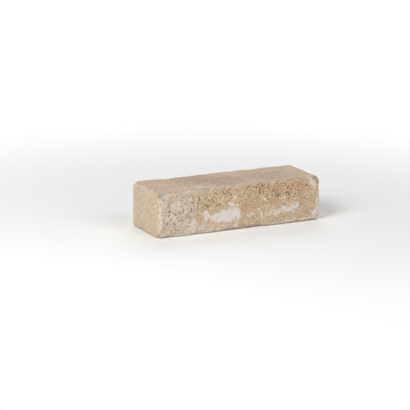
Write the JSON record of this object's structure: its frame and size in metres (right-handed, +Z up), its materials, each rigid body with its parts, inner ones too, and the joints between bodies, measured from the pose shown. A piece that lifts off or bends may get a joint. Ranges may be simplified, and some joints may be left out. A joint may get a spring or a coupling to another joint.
{
  "type": "stacking block",
  "caption": "Solid tumbled concrete block, long and low, dry-laid or glued in courses to build garden walls.",
  "frame": {"origin": "middle of the lower bed face, which is the middle of the underside of the block's bounding box", "axes": "+X along the block's length, to the right when facing the show face; +Y across its width, from the show face to the back; +Z up, from the lower bed to the upper bed"},
  "size_m": [0.4, 0.13, 0.1],
  "materials": {
    "tumbled_concrete": "matte"
  },
  "bodies": {
    "root": {"block": "tumbled_concrete"}
  },
  "joints": []
}
